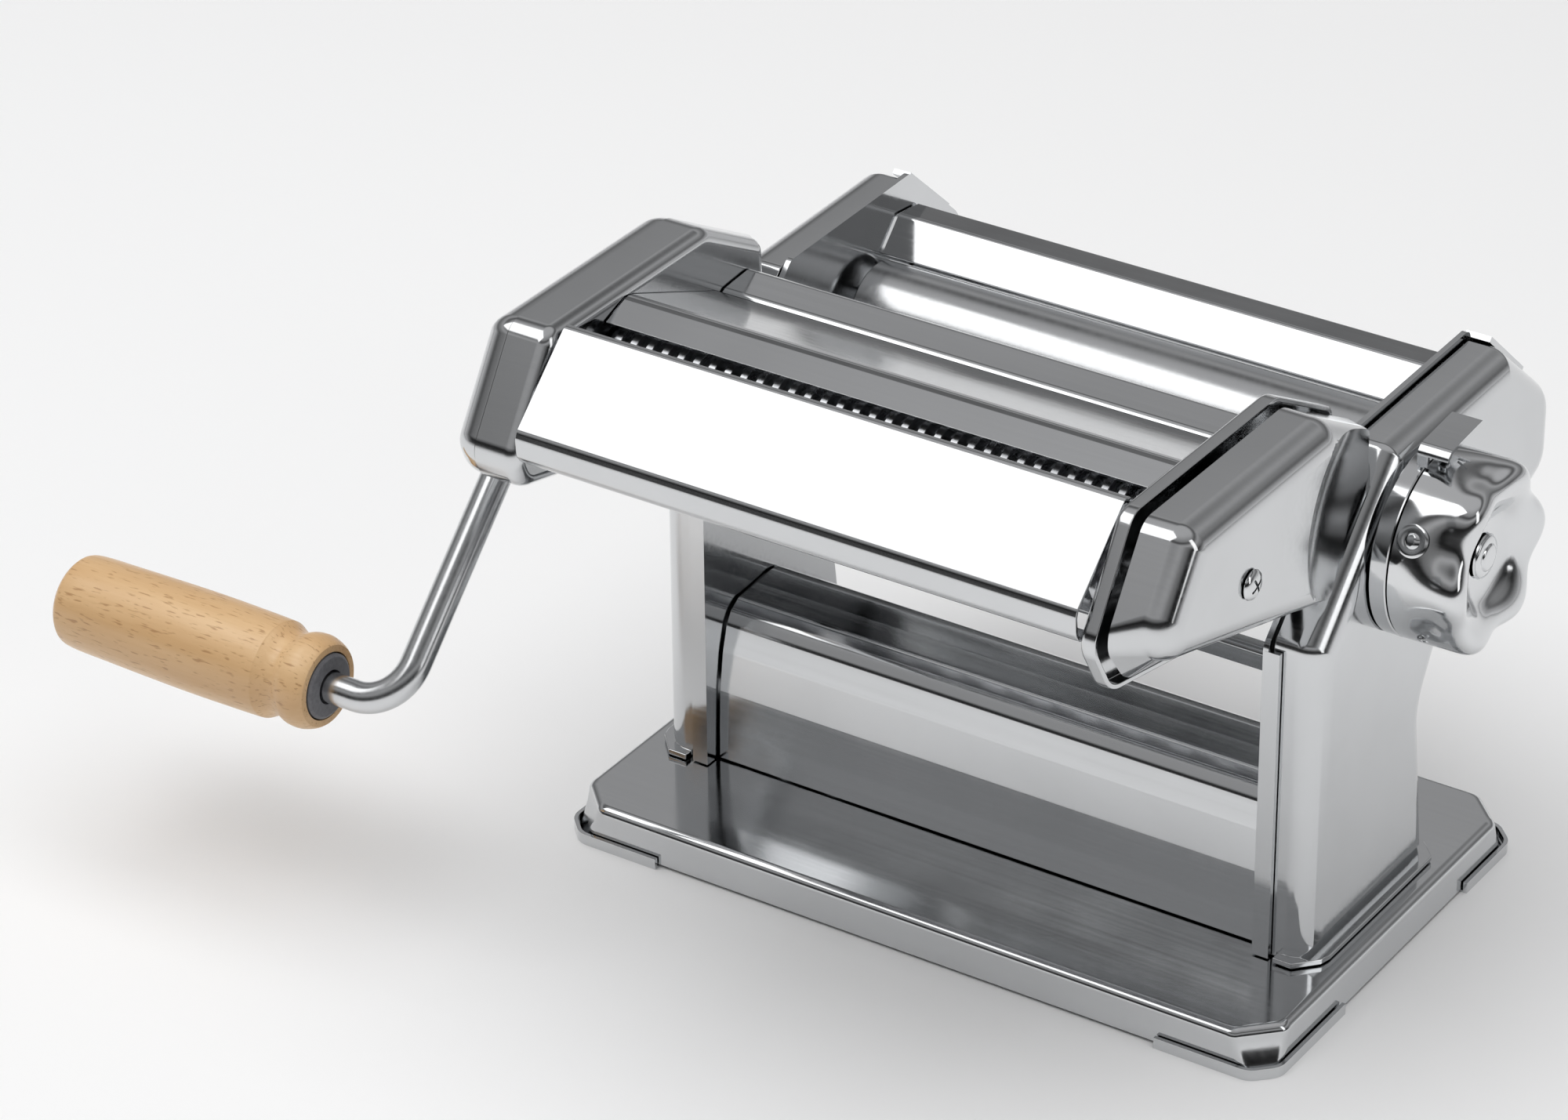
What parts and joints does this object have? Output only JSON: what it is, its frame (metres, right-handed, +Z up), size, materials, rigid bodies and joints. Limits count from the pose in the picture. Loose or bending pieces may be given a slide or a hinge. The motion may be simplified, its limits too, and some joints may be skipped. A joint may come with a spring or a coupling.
{
  "type": "pasta roller machine",
  "caption": "Hand-cranked household pasta machine: two smooth sheeting rollers between stanchions on a pressed base, gap knob, lift-off duplex cutter and a pull-off crank with a wooden grip.",
  "frame": {"origin": "centre of the bounding box, on the table plane under the feet", "axes": "+X along the rollers towards the gap knob, -X towards the crank, +Y to the back, +Z up"},
  "size_m": [0.3268, 0.2138, 0.164],
  "materials": {
    "polished_steel": "polished, with fine drawing lines and soft reflections",
    "bright_chrome": "bright chrome plate over a pressed cup",
    "dark_steel": "oiled gear steel and sintered bearings",
    "grey_bush": "moulded matt plastic",
    "beech": "turned beech with a thin clear lacquer"
  },
  "bodies": {
    "frame": {"base_plate": "polished_steel", "foot_front_left": "polished_steel", "foot_front_right": "polished_steel", "foot_rear_left": "polished_steel", "foot_rear_right": "polished_steel", "side_plate_left": "polished_steel", "side_plate_right": "polished_steel", "side_shell_left": "polished_steel", "side_shell_right": "polished_steel", "dough_chute": "polished_steel", "hopper_plate": "polished_steel", "front_scraper": "polished_steel", "rear_scraper": "polished_steel", "rear_tie_bar": "polished_steel", "upper_tie_rod": "polished_steel", "knob_collar": "polished_steel", "detent_pin": "polished_steel", "pointer_bracket": "polished_steel"},
    "rear_sheeter": {"rear_roller": "polished_steel", "rear_roller_gear": "dark_steel"},
    "front_carriage": {"roller_bearing_left": "dark_steel", "roller_bearing_right": "dark_steel"},
    "front_sheeter": {"front_roller": "polished_steel", "front_roller_gear": "dark_steel"},
    "gap_shaft": {"eccentric_shaft": "polished_steel"},
    "gap_knob": {"thickness_knob": "bright_chrome", "knob_screw": "bright_chrome"},
    "cutter_unit": {"cutter_end_plate_left": "polished_steel", "cutter_end_plate_right": "polished_steel", "cutter_shell_left": "polished_steel", "cutter_shell_right": "polished_steel", "cutter_screw_left": "polished_steel", "cutter_screw_right": "polished_steel", "cutter_cover": "polished_steel", "cutter_divider": "polished_steel", "cutter_back": "polished_steel", "wide_comb": "polished_steel", "fine_comb": "polished_steel"},
    "wide_driver": {"wide_cutter_front": "polished_steel", "wide_cutter_front_gear": "dark_steel"},
    "wide_mate": {"wide_cutter_rear": "polished_steel", "wide_cutter_rear_gear": "dark_steel"},
    "fine_driver": {"fine_cutter_rear": "polished_steel", "fine_cutter_rear_gear": "dark_steel"},
    "fine_mate": {"fine_cutter_front": "polished_steel", "fine_cutter_front_gear": "dark_steel"},
    "crank": {"crank_rod": "polished_steel"},
    "crank_grip": {"wooden_grip": "beech", "grip_bush": "grey_bush"}
  },
  "joints": [
    {"name": "rear_roller_spin", "type": "hinge", "parent": "frame", "child": "rear_sheeter", "pos_m": [0.04727, 0.0614, 0.1087], "axis": [1, 0, 0], "continuous": true},
    {"name": "knob_turn", "type": "hinge", "parent": "frame", "child": "gap_shaft", "pos_m": [0.04727, 0.0334, 0.1092], "axis": [1, 0, 0], "range_deg": [-90, 135]},
    {"name": "knob_pull", "type": "slide", "parent": "gap_shaft", "child": "gap_knob", "axis": [1, 0, 0], "range_m": [0, 0.004], "stiffness_N_per_m": 400},
    {"name": "roller_gap", "type": "slide", "parent": "frame", "child": "front_carriage", "axis": [0, -0.9998, 0.0179], "range_m": [-0.00071, 0.00106]},
    {"name": "front_roller_spin", "type": "hinge", "parent": "front_carriage", "child": "front_sheeter", "pos_m": [0.04727, 0.0334, 0.1092], "axis": [1, 0, 0], "continuous": true},
    {"name": "cutter_lift_off", "type": "slide", "parent": "frame", "child": "cutter_unit", "axis": [0, 0.7178, 0.6963], "range_m": [0, 0.09]},
    {"name": "wide_driver_spin", "type": "hinge", "parent": "cutter_unit", "child": "wide_driver", "pos_m": [0.04727, -0.0203, 0.1334], "axis": [1, 0, 0], "continuous": true},
    {"name": "wide_mate_spin", "type": "hinge", "parent": "cutter_unit", "child": "wide_mate", "pos_m": [0.04727, -0.0017, 0.1334], "axis": [1, 0, 0], "continuous": true},
    {"name": "fine_driver_spin", "type": "hinge", "parent": "cutter_unit", "child": "fine_driver", "pos_m": [0.04727, -0.0509, 0.1458], "axis": [1, 0, 0], "continuous": true},
    {"name": "fine_mate_spin", "type": "hinge", "parent": "cutter_unit", "child": "fine_mate", "pos_m": [0.04727, -0.0695, 0.1458], "axis": [1, 0, 0], "continuous": true},
    {"name": "crank_pull_off", "type": "slide", "parent": "wide_driver", "child": "crank", "axis": [-1, 0, 0], "range_m": [0, 0.03]},
    {"name": "grip_spin", "type": "hinge", "parent": "crank", "child": "crank_grip", "pos_m": [0.04727, -0.0942, 0.0594], "axis": [1, 0, 0], "continuous": true}
  ],
  "couplings": [
    {"joint": "knob_turn", "follows": "roller_gap", "rad_per_m": 2222.2},
    {"joint": "front_roller_spin", "follows": "rear_roller_spin", "ratio": -1},
    {"joint": "wide_mate_spin", "follows": "wide_driver_spin", "ratio": -1},
    {"joint": "fine_mate_spin", "follows": "fine_driver_spin", "ratio": -1}
  ]
}
